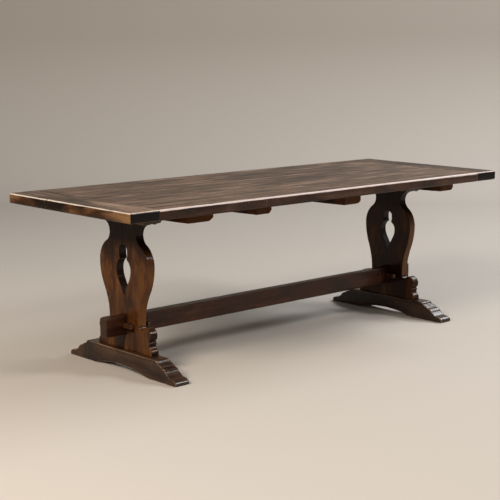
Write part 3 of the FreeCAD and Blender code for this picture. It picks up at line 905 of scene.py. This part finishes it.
@dataclass
class Timber:
    """What every worked piece of wood has: the node that it stands for, and how it has aged.

    The shares say how far each kind of unevenness draws the surface in, as a part of the waviness.
    """

    node: str
    finishes: dict[str, bpy.types.Material]
    seed: int = 1
    waviness: float = 0.35 * MM
    sunk_share: float = 0.55
    wave_size: Sequence[float] = (0.09, 0.09, 0.09)
    wave_seed: float = 7.3
    wave_share: float = 0.45
    waves_to_fine: float = 5
    fine_seed: float = 3.1
    fine_share: float = 0.15
    pit_size: Sequence[float] = (0.03, 0.03, 0.03)
    pit_seed: float = 1.7
    pit_share: float = 1.6
    rubbed_share: float = 1.2
    knocks: int = 30
    knock_depth: float = 0.9 * MM
    knock_reach: Span = (4 * MM, 10 * MM)
    knock_force: Span = (0.4, 1.0)
    knock_fall: float = 1.5
    arris_wear: float = 0.6
    knots: Sequence[Triple] = ()
    knot_radius: float = 15 * MM
    # How much lighter or darker the piece is, by steps along one axis: a piece's own tone, and on the
    # trestles painted light and shade.
    tint: Sequence[float] = (0.0,)
    tint_axis: int = 2
    pith_away: float = 0.16

    def build(self) -> bpy.types.Object:
        """Shape the piece, age it, and dress it.

        Returns:
            The finished piece.
        """
        piece = self.shape()
        piece.name = f"{self.node}_worn"
        piece.data.name = piece.name
        wear, hollow = self.wear_of(piece)
        self.age(piece, wear)
        put_attribute(piece, "wear", wear)
        put_attribute(piece, "hollow", hollow)
        put_attribute(piece, "knot", self.knot_of(piece))
        put_attribute(piece, "tint", self.tint_of(piece))
        put_attribute(piece, "pith", np.tile(self.pith(), (len(wear), 1)))
        self.dress(piece)
        return piece

    def shape(self) -> bpy.types.Object:
        """Make the piece's mesh."""
        raise NotImplementedError

    def wear_of(self, piece: bpy.types.Object) -> tuple[np.ndarray, np.ndarray]:
        """How abraded each vertex is, with painted light, and how dark, with painted shade."""
        raise NotImplementedError

    def knot_of(self, piece: bpy.types.Object) -> np.ndarray:
        """How near each vertex is to the heart of a knot, from 0 to 1.

        Args:
            piece: The mesh object.

        Returns:
            One value for each vertex.
        """
        places = coordinates(piece)
        near = np.zeros(len(places))
        for middle in self.knots:
            apart = np.linalg.norm(places - np.array(middle), axis=1)
            near = np.maximum(near, remainder(1, apart / (2 * self.knot_radius)))
        return near

    def tint_of(self, piece: bpy.types.Object) -> np.ndarray:
        """How much lighter or darker each vertex is than its kind, by even steps from end to end.

        Args:
            piece: The mesh object.

        Returns:
            One value for each vertex.
        """
        low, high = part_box(self.node)
        steps = np.linspace(low[self.tint_axis], high[self.tint_axis], len(self.tint))
        return np.interp(coordinates(piece)[:, self.tint_axis], steps, self.tint)

    def pith(self) -> np.ndarray:
        """Choose the heart line of the tree that the piece was sawn from, a little outside the piece.

        Returns:
            A point on that line.
        """
        low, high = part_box(self.node)
        chance = random.Random(self.seed)
        away = np.array([chance.uniform(-self.pith_away, self.pith_away) for _ in range(3)])
        return np.array((low + high) / 2) + away

    def age(self, piece: bpy.types.Object, wear: np.ndarray) -> None:
        """Make the surface uneven, and knock its arrises about, never beyond the piece's box.

        Args:
            piece: The mesh object.
            wear: How abraded each vertex is, with painted light in the same values.
        """
        places = coordinates(piece)
        wave = unevenness(places, self.wave_size, self.seed * self.wave_seed)
        fine_size = np.asarray(self.wave_size) / self.waves_to_fine
        fine = unevenness(places, fine_size, self.seed * self.fine_seed)
        pits = unevenness(places, self.pit_size, self.seed * self.pit_seed)
        inward = self.waviness * (self.sunk_share - self.wave_share * wave - self.fine_share * fine)
        inward += wear * self.waviness * (self.rubbed_share + self.pit_share * pits)
        chance = random.Random(self.seed)
        edges = np.flatnonzero(wear > self.arris_wear)
        for _ in range(self.knocks if len(edges) else 0):
            middle = places[edges[chance.randrange(len(edges))]]
            reach = chance.uniform(*self.knock_reach)
            near = remainder(1, np.linalg.norm(places - middle, axis=1) / reach)
            inward += near ** self.knock_fall * self.knock_depth * chance.uniform(*self.knock_force)
        moved = places - vertex_rows(piece, "normal") * np.clip(inward, 0, None)[:, None]
        low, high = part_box(self.node)
        put_coordinates(piece, np.clip(moved, np.array(low), np.array(high)))

    def dress(self, piece: bpy.types.Object) -> None:
        """Give the piece its material and hang it on its body in the node's stead.

        Args:
            piece: The mesh object.
        """
        slot = NODE_SLOT[self.node]
        piece.data.materials.clear()
        piece.data.materials.append(self.finishes[slot])
        smooth_faces(piece)
        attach(piece, NODE_BODY[self.node])
        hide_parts(self.node)
        log.info("%s: %d faces", piece.name, len(piece.data.polygons))


@dataclass(frozen=True)
class Crack:
    """A narrow crack, square to Y, in one face of a board.

    It lies at one distance along Y, runs from start to stop along the axis `run`, and opens in the face
    whose axis is `face` and whose outward way is `outward`. Its bends are counted per metre.
    """

    across: float
    start: float
    stop: float
    run: int = 0
    face: int = 2
    outward: int = 1
    depth: float = 2.2 * MM
    width: float = 1.8 * MM
    fade: float = 90 * MM
    wander: float = 3 * MM
    bends: float = 5
    seed_per_metre: float = 40

    def rows(self) -> Triple:
        """Where the crack's two lips and its bottom lie along Y."""
        return self.across - self.width / 2, self.across, self.across + self.width / 2

    def sway(self, along: np.ndarray) -> np.ndarray:
        """How far the crack wanders along Y at each distance along its run."""
        seed = self.across * self.seed_per_metre
        return self.wander * np.array([noise.noise(Vector((x * self.bends, seed, 0))) for x in along])


@dataclass
class Board(Timber):
    """A flat board, sawn square, with some of its arrises rounded, some only eased, and some cracks.

    An edge that is longer than `long_edge` cells is divided into cells.
    """

    low: Sequence[float] = (0, 0, 0)
    high: Sequence[float] = (0, 0, 0)
    rounded: Callable[[Vector], bool] = lambda middle: True
    eased: Callable[[Vector], bool] = lambda middle: False
    cracks: Sequence[Crack] = ()
    arris: float = 6 * MM
    ease: float = 1.1 * MM
    cell: float = 9.5 * MM
    rim: float = 14 * MM
    slack: float = 0.1 * MM
    long_edge: float = 1.5
    length_digits: int = 5
    arris_steps: int = 4
    upper_wear: float = 1.9
    lower_wear: float = 0.7
    worn_share: float = 0.65

    def shape(self) -> bpy.types.Object:
        """Make a block, round its arrises, and divide its faces evenly.

        Returns:
            The board's mesh.
        """
        low, high = Vector(self.low), Vector(self.high)
        bpy.ops.object.select_all(action="DESELECT")
        bpy.ops.mesh.primitive_cube_add(size=1, location=(low + high) / 2, scale=high - low)
        piece = bpy.context.active_object
        bpy.ops.object.transform_apply(location=True, rotation=True, scale=True)
        with editing(piece):
            pick_edges(piece, lambda a, b: self.rounded((a + b) / 2))
            bpy.ops.mesh.bevel(offset=self.arris, segments=self.arris_steps, affect="EDGES", profile=0.5)
            level = high.z - self.slack
            if pick_edges(piece, lambda a, b: min(a.z, b.z) > level and self.eased((a + b) / 2)):
                bpy.ops.mesh.bevel(offset=self.ease, segments=1, affect="EDGES")
            for axis in range(3):
                self.rim_cuts(axis, low, high)
            for crack in self.cracks:
                for row in crack.rows():
                    bisect_whole((0, row, 0), (0, 1, 0))
            for axis in range(3):
                self.divide(piece, axis)
        return piece

    def rim_cuts(self, axis: int, low: Vector, high: Vector) -> None:
        """Cut the whole mesh once near each of two opposite faces.

        Args:
            axis: The axis that the two faces are square to.
            low: The board's low corner.
            high: The board's high corner.
        """
        way = Vector([float(axis == each) for each in range(3)])
        if high[axis] - low[axis] >= 4 * self.rim:
            for place in (low[axis] + self.rim, high[axis] - self.rim):
                bisect_whole(way * place, way)

    def divide(self, piece: bpy.types.Object, axis: int) -> None:
        """Divide the long edges along one axis into cells.

        Args:
            piece: The board, in edit mode.
            axis: The axis that the edges lie along.
        """
        def length_along(a: Vector, b: Vector) -> float:
            """The edge's length, or nothing where it runs another way."""
            gap = b - a
            return abs(gap[axis]) if abs(abs(gap[axis]) - gap.length) < MM * MM else 0.0

        bpy.ops.object.mode_set(mode="OBJECT")
        places = [vertex.co.copy() for vertex in piece.data.vertices]
        lengths = {length_along(places[a], places[b]) for a, b in piece.data.edge_keys}
        shortest = self.long_edge * self.cell
        long = {round(length, self.length_digits) for length in lengths if length > shortest}
        bpy.ops.object.mode_set(mode="EDIT")
        for length in sorted(long):
            pick_edges(piece, lambda a, b: abs(length_along(a, b) - length) < self.slack / 5)
            bpy.ops.mesh.subdivide(number_cuts=max(1, round(length / self.cell) - 1))

    def crack_reach(self, crack: Crack, places: np.ndarray, row: float) -> np.ndarray:
        """How open a crack is at each vertex of one of its rows, and nothing elsewhere.

        Args:
            crack: The crack.
            places: One row for each vertex.
            row: Where the crack's row lies along Y.

        Returns:
            One value for each vertex.
        """
        level = (self.high if crack.outward > 0 else self.low)[crack.face]
        shown = (places[:, crack.face] - level) * crack.outward > -self.arris - MM
        along = places[:, crack.run]
        fade = np.clip(np.minimum(along - crack.start, crack.stop - along) / crack.fade, 0, 1)
        return np.where(shown & (np.abs(places[:, 1] - row) < self.slack / 2), fade, 0.0)

    def age(self, piece: bpy.types.Object, wear: np.ndarray) -> None:
        """Age the board as any other, then open its cracks.

        Args:
            piece: The mesh object.
            wear: How abraded each vertex is, with painted light in the same values.
        """
        before = coordinates(piece)
        super().age(piece, wear)
        places = coordinates(piece)
        for crack in self.cracks:
            sway = crack.sway(before[:, crack.run])
            for row in crack.rows():
                reach = self.crack_reach(crack, before, row)
                places[:, 1] += np.where(reach > 0, sway, 0.0)
                if row == crack.across:
                    places[:, crack.face] -= crack.outward * crack.depth * reach
        put_coordinates(piece, places)

    def wear_of(self, piece: bpy.types.Object) -> tuple[np.ndarray, np.ndarray]:
        """How abraded each vertex is along the top's outer arrises, where the pale band is also a painted
        highlight, and how dark, at seams and cracks.

        Args:
            piece: The mesh object.

        Returns:
            One value of each for each vertex.
        """
        places = coordinates(piece)
        whole_low, whole_high = (np.array(corner) for corner in CAD_BOX)
        sides = np.minimum(places[:, :2] - whole_low[:2], whole_high[:2] - places[:, :2]).min(axis=1)
        up = np.hypot(sides, whole_high[2] - places[:, 2])
        down = np.hypot(sides, places[:, 2] - self.low[2])
        # The band along the upper arrises: abraded wood, and a painted highlight.
        corner = remainder(self.upper_wear, up / (self.worn_share * self.arris))
        corner = np.maximum(corner, remainder(self.lower_wear, down / self.arris))
        below = (self.high[2] - places[:, 2]) / self.ease
        seam = (below > 0.5) & (below < 1.5) & (sides > 2 * self.arris)
        hollow = np.where(seam, WAXLESS, 0.0)
        for crack in self.cracks:
            for row, depth in zip(crack.rows(), (LIPS, WAXLESS, LIPS)):
                hollow = np.maximum(hollow, depth * self.crack_reach(crack, places, row))
        return corner, hollow


@dataclass
class Carved(Timber):
    """A piece cut to an outline, worked from a copy of its node, with its arrises worn soft."""

    weld: float = 0.01 * MM
    voxel: float = 2.0 * MM
    smoothing: int = 2
    smooth_share: float = 0.5
    bend_spreads: int = 3
    full_bulge: float = 0.16
    full_dip: float = 0.14

    def shape(self) -> bpy.types.Object:
        """Copy the node's mesh, weld it, and skin it evenly.

        Returns:
            The mesh.
        """
        node = frame["nodes"][self.node]
        piece = bpy.data.objects.new(self.node, node.data.copy())
        bpy.context.scene.collection.objects.link(piece)
        with editing(piece):
            bpy.ops.mesh.select_all(action="SELECT")
            bpy.ops.mesh.remove_doubles(threshold=self.weld)
        apply_modifier(piece, "REMESH", mode="VOXEL", voxel_size=self.voxel, adaptivity=0.0)
        apply_modifier(piece, "SMOOTH", factor=self.smooth_share, iterations=self.smoothing)
        return piece

    def wear_of(self, piece: bpy.types.Object) -> tuple[np.ndarray, np.ndarray]:
        """How abraded each vertex is, where the surface bulges, and how dark, where it dips, with dirt and
        painted shade there.

        Args:
            piece: The mesh object.

        Returns:
            One value of each for each vertex.
        """
        places, outward = coordinates(piece), vertex_rows(piece, "normal")
        ends = np.zeros(len(piece.data.edges) * 2, np.int32)
        piece.data.edges.foreach_get("vertices", ends)
        a, b = ends.reshape(-1, 2).T
        gap = places[b] - places[a]
        far = np.maximum(np.linalg.norm(gap, axis=1), MM * MM * MM)
        bend = np.zeros(len(places))
        count = np.zeros(len(places))
        for here, sign in ((a, -1.0), (b, 1.0)):
            np.add.at(bend, here, sign * np.einsum("ij,ij->i", gap, outward[here]) / far)
            np.add.at(count, here, 1.0)
        bend /= np.maximum(count, 1)
        for _ in range(self.bend_spreads):
            total = bend.copy()
            np.add.at(total, a, bend[b])
            np.add.at(total, b, bend[a])
            bend = total / (count + 1)
        # Dips are darkened: dirt, and painted shade as in a crease.
        return np.clip(bend / self.full_bulge, 0, 1), np.clip(-bend / self.full_dip, 0, 1)


@dataclass
class Upright(Carved):
    """An upright board: painted shade darkens its piercing, its neck and the sides of its mouldings, and
    painted light makes its edges paler below the neck.

    A start and a fall say how much a face counts as an edge, or as the side of a moulding, by how far it
    looks along X, or upwards.
    """

    foot_top: float = 0.09
    moulding: float = 121 * MM
    neck: Span = (0.53, 0.60)
    pierced: float = 62 * MM
    # Painted light: how much paler the edge faces below the neck are made, as where light falls on them.
    edge_glow: float = 0.85
    edge_start: float = 1.7
    edge_fall: float = 2.2
    side_start: float = 1.1
    side_fall: float = 2.4
    # Painted shade: how dark the mouldings' sides, the edges in the piercing and at the neck, and the neck
    # itself are made, and how far that shade takes away the paleness of abrasion.
    moulding_shelter: float = 0.85
    edge_shelter: float = 0.9
    neck_shelter: float = 0.55
    kept_polish: float = 0.6

    def wear_of(self, piece: bpy.types.Object) -> tuple[np.ndarray, np.ndarray]:
        """As on any carved piece, with painted shade in the piercing, at the neck and down the mouldings'
        sides, and painted light on the edges below the neck.

        Args:
            piece: The mesh object.

        Returns:
            How abraded each vertex is, with the painted light, and how dark, with the painted shade.
        """
        wear, hollow = super().wear_of(piece)
        places, outward = coordinates(piece), vertex_rows(piece, "normal")
        level = places[:, 2]
        edge = remainder(self.edge_start, self.edge_fall * np.abs(outward[:, 0]))
        moulded = (level > self.foot_top) & (level < self.foot_top + self.moulding)
        side = edge * remainder(self.side_start, self.side_fall * outward[:, 2])
        high = np.clip((level - self.neck[0]) / (self.neck[1] - self.neck[0]), 0, 1)
        inside = np.abs(places[:, 1]) < self.pierced
        # Painted shade on the edges in the piercing and at the neck, on the mouldings' sides that do not
        # face up, and over the whole neck.
        edge_painted_shade = self.edge_shelter * edge * np.maximum(high, inside)
        painted_shade = np.where(moulded, self.moulding_shelter * side, edge_painted_shade)
        painted_shade = np.maximum(painted_shade, self.neck_shelter * high)
        # Painted light: edges below the neck, outside the piercing and the mouldings, are made paler.
        painted_edge_light = np.where(moulded | inside, 0.0, self.edge_glow * edge * (1 - high))
        return np.maximum(wear, painted_edge_light) * (1 - self.kept_polish * painted_shade), np.maximum(hollow, painted_shade)


@dataclass
class Batten(Carved):
    """A batten: painted light makes it paler towards its two ends, and a painted shadow darkens its upper
    rim under the top.
    """

    paler: float = 150 * MM
    pale_wear: float = 0.95
    grimy: float = 9 * MM
    grime: float = 0.8

    def wear_of(self, piece: bpy.types.Object) -> tuple[np.ndarray, np.ndarray]:
        """As on any carved piece, with painted light at its ends and a painted shadow along its upper rim.

        Args:
            piece: The mesh object.

        Returns:
            How abraded each vertex is, with the painted light, and how dark, with the painted shadow.
        """
        wear, hollow = super().wear_of(piece)
        places = coordinates(piece)
        low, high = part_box(self.node)
        end = np.minimum(places[:, 1] - low.y, high.y - places[:, 1])
        # Painted light: paler towards the ends, where light reaches under the top.
        pale = self.pale_wear * remainder(1, end / self.paler)
        # Painted shadow: a dark band along the upper rim, under the top.
        rim = self.grime * remainder(1, (high.z - places[:, 2]) / self.grimy)
        return np.maximum(wear, pale), np.maximum(hollow, rim)


# The sub-assemblies


@dataclass
class Top:
    """The top: three planks between two breadboard ends."""

    finishes: dict[str, bpy.types.Material]
    planks: Sequence[str] = ("top_plank_front", "top_plank_middle", "top_plank_back")
    ends: Sequence[str] = ("breadboard_left", "breadboard_right")
    plank_seed: int = 11
    end_seed: int = 21
    joint: float = 0.3 * MM
    joint_reach: float = 2 * MM
    arris: float = 9 * MM
    plank_wave: Sequence[float] = (0.30, 0.09, 0.09)
    plank_knocks: int = 26
    plank_knot_radius: float = 11 * MM
    end_wave: Sequence[float] = (0.09, 0.30, 0.09)
    end_knocks: int = 40
    end_cell: float = 7 * MM
    end_worn_share: float = 0.45
    plank_cracks: Sequence[Sequence[Crack]] = (
        (Crack(-0.372, -1.2, -0.62), Crack(-0.238, 0.21, 0.93)),
        (Crack(0.052, -1.2, -0.47), Crack(-0.081, 0.38, 1.2)),
        (Crack(0.338, -0.66, 0.12), Crack(0.214, 0.71, 1.2)),
    )
    end_cracks: Sequence[Sequence[Crack]] = (
        (Crack(0.146, 0.70, 0.82, run=2, face=0, outward=-1, fade=10 * MM, wander=1.5 * MM),),
        (),
    )
    plank_knots: Sequence[Sequence[Triple]] = (
        ((-0.53, -0.312, 0.78),), ((0.58, 0.093, 0.78),), ((-0.81, 0.262, 0.78),),
    )
    plank_tints: Sequence[float] = (0.05, -0.06, 0.0)
    # The left breadboard goes from lighter at the front to darker towards the back, and the right one is
    # darker throughout.
    end_tints: Sequence[Sequence[float]] = ((0.50, 0.26, -0.42, -0.16), (-0.45, -0.35))

    def build(self) -> None:
        """Make the planks and the breadboard ends."""
        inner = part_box("breadboard_right")[0].x - self.joint
        outer_y = CAD_BOX[1].y
        for number, node in enumerate(self.planks):
            low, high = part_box(node)
            Board(
                node, self.finishes, seed=self.plank_seed + number,
                low=(-inner, low.y, low.z), high=(inner, high.y, high.z),
                rounded=lambda middle: abs(abs(middle.y) - outer_y) < MM and abs(middle.x) < inner - MM,
                eased=lambda middle: abs(middle.x) > inner - MM or abs(middle.y) < outer_y - 2 * self.arris,
                arris=self.arris, wave_size=self.plank_wave, knocks=self.plank_knocks,
                cracks=self.plank_cracks[number], knots=self.plank_knots[number],
                knot_radius=self.plank_knot_radius, tint=(self.plank_tints[number],),
            ).build()
        for number, node in enumerate(self.ends):
            low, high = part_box(node)
            Board(
                node, self.finishes, seed=self.end_seed + number, low=low, high=high,
                rounded=lambda middle: abs(abs(middle.x) - inner) > self.joint_reach,
                eased=lambda middle: abs(abs(middle.x) - inner) < self.joint_reach,
                arris=self.arris, wave_size=self.end_wave, knocks=self.end_knocks, cell=self.end_cell,
                worn_share=self.end_worn_share, cracks=self.end_cracks[number],
                tint=self.end_tints[number], tint_axis=1,
            ).build()


@dataclass
class Trestles:
    """Both trestles: their feet, uprights and bearers."""

    finishes: dict[str, bpy.types.Material]
    seed: int = 31
    knocks: int = 34
    voxels: dict[str, float] = field(default_factory=lambda: {"foot": 2 * MM, "bearer": 3 * MM})
    # Painted light and shade: the feet and bearers are darkened, the right ones more; the left uprights go
    # from lighter at the base to darker at the top, the right ones from their own tone at the base to
    # darker at the top.
    foot_tint: dict[Side, float] = field(default_factory=lambda: {Side.LEFT: -0.06, Side.RIGHT: -0.14})
    upright_tint: dict[Side, Sequence[float]] = field(
        default_factory=lambda: {Side.LEFT: (0.32, 0.06, -0.16), Side.RIGHT: (0.0, -0.34)}
    )
    upright_knot: dict[Side, Triple] = field(
        default_factory=lambda: {Side.LEFT: (-0.9045, 0.118, 0.325), Side.RIGHT: (0.8625, -0.205, 0.110)}
    )

    def build(self) -> None:
        """Make each trestle's pieces."""
        seed = self.seed
        for side in Side:
            foot_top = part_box(f"foot_{side.word}")[1].z
            for kind, voxel in self.voxels.items():
                seed += 1
                Carved(
                    f"{kind}_{side.word}", self.finishes, seed=seed, voxel=voxel, knocks=self.knocks,
                    tint=(self.foot_tint[side],),
                ).build()
            for half in ("front", "back"):
                seed += 1
                Upright(
                    f"upright_{side.word}_{half}", self.finishes, seed=seed, knocks=self.knocks,
                    foot_top=foot_top, tint=self.upright_tint[side], knots=(self.upright_knot[side],),
                ).build()


@dataclass
class Braces:
    """What braces the table: the battens, the stretcher and its keys."""

    finishes: dict[str, bpy.types.Material]
    voxel: float = 3 * MM
    battens: Sequence[str] = ("batten_1", "batten_2", "batten_3", "batten_4")
    batten_seed: int = 51
    batten_knocks: int = 14
    stretcher_seed: int = 61
    stretcher_wave: Sequence[float] = (0.25, 0.06, 0.06)
    stretcher_knocks: int = 40
    stretcher_knot: Triple = (0.768, -0.022, 0.216)
    key_seed: int = 70
    key_voxel: float = 1.2 * MM
    key_waviness: float = 0.15 * MM
    key_knocks: int = 6
    key_knock_depth: float = 0.5 * MM

    def build(self) -> None:
        """Make the battens, the stretcher and the keys."""
        for number, node in enumerate(self.battens):
            Batten(
                node, self.finishes, seed=self.batten_seed + number, voxel=self.voxel,
                knocks=self.batten_knocks,
            ).build()
        Carved(
            "stretcher", self.finishes, seed=self.stretcher_seed, voxel=self.voxel,
            wave_size=self.stretcher_wave, knocks=self.stretcher_knocks, knots=(self.stretcher_knot,),
        ).build()
        for side in Side:
            for place in ("outer", "inner"):
                Carved(
                    f"key_{side.word}_{place}", self.finishes, seed=self.key_seed + side.value,
                    voxel=self.key_voxel, waviness=self.key_waviness, knocks=self.key_knocks,
                    knock_depth=self.key_knock_depth,
                ).build()


def dress_fasteners(finishes: dict[str, bpy.types.Material]) -> None:
    """Give the pegs, dowels, tongues and nails, which keep their own shape, their materials.

    Args:
        finishes: The materials by the name of their slot.
    """
    for node, thing in frame["nodes"].items():
        slot = NODE_SLOT[node]
        if slot in ("peg_oak", "nail_iron"):
            thing.data.materials.clear()
            thing.data.materials.append(finishes[slot])
            log.info("%s: %s", node, slot)


# The studio


@dataclass(frozen=True)
class Camera:
    """The camera: its place in metres, its turn and dip in degrees, its lens and film in millimetres."""

    place: Triple = (-4.1421, -4.3554, 1.4626)
    turn: float = -42.57
    dip: float = 9.68
    lens: float = 89.22
    film: float = 36.0

    def stand(self) -> None:
        """Stand the camera where the picture was taken from."""
        eye = bpy.data.cameras.new("camera")
        eye.lens = self.lens
        eye.sensor_width = self.film
        holder = bpy.data.objects.new("camera", eye)
        holder.location = self.place
        holder.rotation_euler = (math.radians(90 - self.dip), 0, math.radians(self.turn))
        bpy.context.scene.collection.objects.link(holder)
        bpy.context.scene.camera = holder


@dataclass(frozen=True)
class Lamp:
    """One soft lamp: where it hangs, what it faces, its width, height and power, and its colour."""

    name: str
    place: Triple
    aim: Triple
    width: float
    height: float
    power: float
    colour: Triple

    def hang(self) -> None:
        """Hang the lamp."""
        lamp = bpy.data.lights.new(self.name, "AREA")
        lamp.shape = "RECTANGLE"
        lamp.size = self.width
        lamp.size_y = self.height
        lamp.energy = self.power
        lamp.color = self.colour
        holder = bpy.data.objects.new(self.name, lamp)
        holder.location = self.place
        holder.rotation_euler = (Vector(self.aim) - Vector(self.place)).to_track_quat("-Z", "Y").to_euler()
        bpy.context.scene.collection.objects.link(holder)


LAMPS = (
    Lamp("left", (-5.6, -1.6, 3.9), (-0.8, 0.0, 0.4), 2.0, 2.0, 290.0, (1.0, 0.90, 0.78)),
    Lamp("right", (7.6, 0.2, 6.2), (0.0, 0.0, 0.5), 8.0, 1.8, 620.0, (0.88, 0.94, 1.0)),
    Lamp("front", (3.4, -4.2, 4.0), (0.0, 0.0, 0.4), 1.8, 1.2, 150.0, (0.96, 0.97, 1.0)),
)


@dataclass
class Studio:
    """A pale floor that curves up behind the table, soft light, and the camera."""

    camera: Camera = Camera()
    pale: Triple = (0.68, 0.61, 0.53)
    bounced: Triple = (0.19, 0.13, 0.09)
    dull: float = 0.9
    world: float = 0.19
    world_colour: Triple = (0.95, 0.97, 1.0)
    front: float = -24.0
    back: float = 5.0
    half: float = 30.0
    wall: float = 6.0
    curve: float = 1.5
    curve_steps: int = 16

    def build(self) -> None:
        """Set up the floor, the lights and the camera."""
        self.floor()
        for lamp in LAMPS:
            lamp.hang()
        world = bpy.data.worlds.new("soft_light")
        world.use_nodes = True
        sky = world.node_tree.nodes["Background"]
        Drawing(world.node_tree).fill(sky, Color=(*self.world_colour, 1.0), Strength=self.world)
        bpy.context.scene.world = world
        bpy.context.scene.view_settings.view_transform = "Standard"
        self.camera.stand()

    def floor(self) -> None:
        """Make the floor and the backdrop, one sheet that curves up behind the table."""
        bpy.ops.object.select_all(action="DESELECT")
        bpy.ops.mesh.primitive_plane_add(size=1)
        sheet = bpy.context.active_object
        sheet.name = "floor_sweep"
        turn = math.radians(self.camera.turn)
        across = Vector((math.cos(turn), math.sin(turn), 0))
        away = Vector((-across.y, across.x, 0))
        corners = [(side, depth) for depth in (self.front, self.back) for side in (-self.half, self.half)]
        for vertex, (side, depth) in zip(sheet.data.vertices, corners):
            vertex.co = across * side + away * depth
        far = away * self.back
        with editing(sheet):
            pick_edges(sheet, lambda a, b: min((a - far).dot(away), (b - far).dot(away)) > -MM)
            bpy.ops.mesh.spin(
                steps=self.curve_steps, angle=math.radians(90), center=far + Vector((0, 0, self.curve)),
                axis=-across, dupli=False,
            )
            bpy.ops.mesh.extrude_region_move(TRANSFORM_OT_translate={"value": (0, 0, self.wall)})
            bpy.ops.mesh.select_all(action="SELECT")
            bpy.ops.mesh.normals_make_consistent(inside=False)
        if sheet.data.polygons[0].normal.z < 0:
            sheet.data.flip_normals()
        smooth_faces(sheet)
        sheet.data.materials.append(self.paper())

    def paper(self) -> bpy.types.Material:
        """Draw the floor's material: pale to look at, dimmer where it throws light, and clear from behind.

        Returns:
            The material.
        """
        made, draw, skin = new_material("pale_floor")
        ray = draw.node("ShaderNodeLightPath").outputs
        seen = draw.math("MAXIMUM", ray["Is Camera Ray"], ray["Is Glossy Ray"])
        seen = draw.math("MAXIMUM", seen, ray["Is Transmission Ray"])
        draw.fill(skin, Base_Color=draw.mix(seen, self.bounced, self.pale), Roughness=self.dull)
        behind = draw.node("ShaderNodeNewGeometry").outputs["Backfacing"]
        clear = draw.node("ShaderNodeBsdfTransparent").outputs[0]
        joined = draw.line_up(draw.node("ShaderNodeMixShader"), behind, skin.outputs[0], clear)
        draw.fill(made.node_tree.nodes["Material Output"], Surface=joined.outputs[0])
        return made


def main() -> None:
    """Build the studio, the finishes and every piece."""
    logging.basicConfig(level=logging.INFO, format="%(message)s")
    Studio().build()
    finishes = make_finishes()
    Top(finishes).build()
    Trestles(finishes).build()
    Braces(finishes).build()
    dress_fasteners(finishes)


if __name__ == "__main__":
    main()
